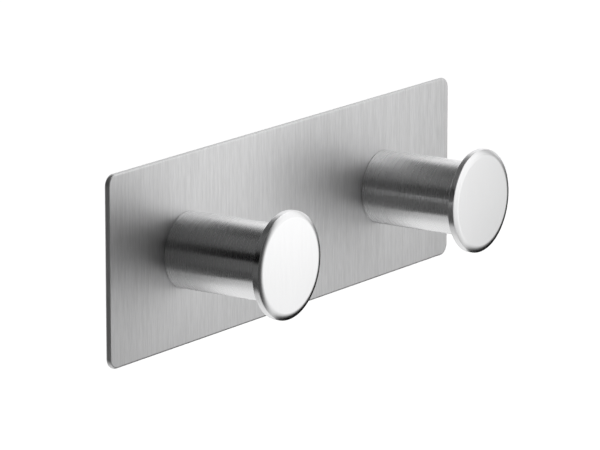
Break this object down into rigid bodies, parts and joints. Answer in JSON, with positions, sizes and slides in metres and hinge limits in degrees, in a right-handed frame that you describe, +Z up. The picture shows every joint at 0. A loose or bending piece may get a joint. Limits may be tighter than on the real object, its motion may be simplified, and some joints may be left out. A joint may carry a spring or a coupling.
{
  "type": "wall hook rack",
  "caption": "Flat brushed-steel wall plate with rounded corners and round pegs that end in wider discs, to hang towels or coats on.",
  "frame": {"origin": "centre of the rear face of the mounting tape, where the rack meets the wall", "axes": "+Y into the wall, so the pegs reach out along -Y; +X along the plate, from the left peg to the right one as seen from the room; +Z up"},
  "size_m": [0.156, 0.0347, 0.05],
  "materials": {
    "plate_steel": "satin stainless steel, brushed straight up and down",
    "peg_steel": "fine turned stainless steel, brushed round the peg, with a softly brushed disc face",
    "screw_steel": "plain stainless steel",
    "bush_nylon": "natural nylon",
    "tape_foam": "closed-cell acrylic foam with a tacky face"
  },
  "bodies": {
    "root": {"back_plate": "plate_steel", "left_peg_sleeve": "peg_steel", "left_peg_head": "peg_steel", "left_locating_bush": "bush_nylon", "left_fixing_screw": "screw_steel", "right_peg_sleeve": "peg_steel", "right_peg_head": "peg_steel", "right_locating_bush": "bush_nylon", "right_fixing_screw": "screw_steel", "left_tape_pad": "tape_foam", "middle_tape_pad": "tape_foam", "right_tape_pad": "tape_foam"}
  },
  "joints": []
}
